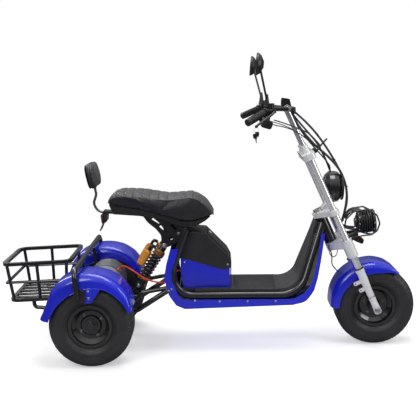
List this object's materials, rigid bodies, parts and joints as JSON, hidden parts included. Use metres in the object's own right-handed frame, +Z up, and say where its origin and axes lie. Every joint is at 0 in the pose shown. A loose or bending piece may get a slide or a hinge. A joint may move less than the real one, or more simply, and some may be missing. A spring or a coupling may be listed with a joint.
{
  "type": "electric trike scooter",
  "caption": "Electric scooter on three fat tyres with a blue step-through body, long seat, backrest, telescopic fork, rear fenders and basket.",
  "frame": {"origin": "on the ground, halfway along the whole length and on the centre line", "axes": "+X forward, the way it drives; +Y to the rider's left; +Z up"},
  "size_m": [2.0836, 0.8786, 1.4823],
  "materials": {
    "frame_black": "gloss black enamel",
    "body_blue": "gloss ultramarine",
    "deck_black": "grained black plastic",
    "shell_black": "satin black moulding",
    "cell_grey": "matt dark case",
    "seat_cover": "charcoal leatherette",
    "seat_base": "matt black",
    "tail_red": "red lens and black bracket",
    "casting": "as cast",
    "gold": "anodised orange gold",
    "spring_black": "black powder coat",
    "cable_red": "orange red sleeve",
    "alloy": "satin, lilac tint",
    "zinc": "zinc plated",
    "chrome": "polished",
    "steel": "plain steel",
    "rubber": "matt black",
    "control_black": "satin black",
    "mirror_face": "silvered glass",
    "lamp_black": "gloss black housing with lens",
    "amber": "amber lens",
    "tyre": "matt black",
    "rim_black": "gloss black"
  },
  "bodies": {
    "chassis": {"frame_tube_right": "frame_black", "frame_tube_left": "frame_black", "frame_cross_members": "frame_black", "head_tube": "frame_black", "belly_pan": "body_blue", "leg_shield": "body_blue", "footboard": "deck_black", "shield_lining": "deck_black", "battery_box": "body_blue", "battery_lid": "shell_black", "battery_pack": "cell_grey", "seat": "seat_cover", "seat_pan": "seat_base", "seat_brackets": "frame_black", "backrest_pad": "seat_cover", "backrest_stem": "frame_black", "tail_lamp": "tail_red", "swing_arm": "frame_black", "axle_housing": "frame_black", "drive_motor": "casting", "shock_absorbers": "gold", "shock_springs": "spring_black", "shock_reservoirs": "gold", "rear_fender_right": "body_blue", "rear_fender_left": "body_blue", "rear_hoop": "frame_black", "rear_carrier": "frame_black", "basket": "frame_black", "motor_cable": "cable_red"},
    "steering": {"fork_legs": "alloy", "front_spindle": "zinc", "stanchions": "chrome", "lower_clamp": "alloy", "upper_clamp": "alloy", "steering_stem": "steel", "top_bridge": "alloy", "handlebar": "chrome", "grips": "rubber", "control_pods": "control_black", "brake_levers": "control_black", "mirrors": "control_black", "mirror_glass": "mirror_face", "display": "lamp_black", "round_lamp": "lamp_black", "lower_lamp": "lamp_black", "indicators": "amber", "front_fender": "body_blue", "control_cables": "rubber", "brake_caliper": "frame_black"},
    "front_wheel": {"front_tyre": "tyre", "front_rim": "rim_black", "brake_disc": "steel"},
    "rear_wheel_right": {"rear_tyre_right": "tyre", "rear_rim_right": "rim_black", "axle_shaft_right": "steel"},
    "rear_wheel_left": {"rear_tyre_left": "tyre", "rear_rim_left": "rim_black", "axle_shaft_left": "steel"},
    "battery_hatch": {"battery_hatch": "shell_black"}
  },
  "joints": [
    {"name": "steer", "type": "hinge", "parent": "chassis", "child": "steering", "pos_m": [0.59575, 0, 0.58681], "axis": [-0.4099, 0, 0.9121], "range_deg": [-38, 38]},
    {"name": "front_wheel_spin", "type": "hinge", "parent": "steering", "child": "front_wheel", "pos_m": [0.8395, 0, 0.203], "axis": [0, 1, 0], "continuous": true},
    {"name": "rear_wheel_right_spin", "type": "hinge", "parent": "chassis", "child": "rear_wheel_right", "pos_m": [-0.5775, -0.31, 0.203], "axis": [0, 1, 0], "continuous": true},
    {"name": "rear_wheel_left_spin", "type": "hinge", "parent": "chassis", "child": "rear_wheel_left", "pos_m": [-0.5775, 0.31, 0.203], "axis": [0, 1, 0], "continuous": true},
    {"name": "battery_hatch_open", "type": "hinge", "parent": "chassis", "child": "battery_hatch", "pos_m": [0.0828, 0, 0.4937], "axis": [0, 1, 0], "range_deg": [0, 100]}
  ]
}
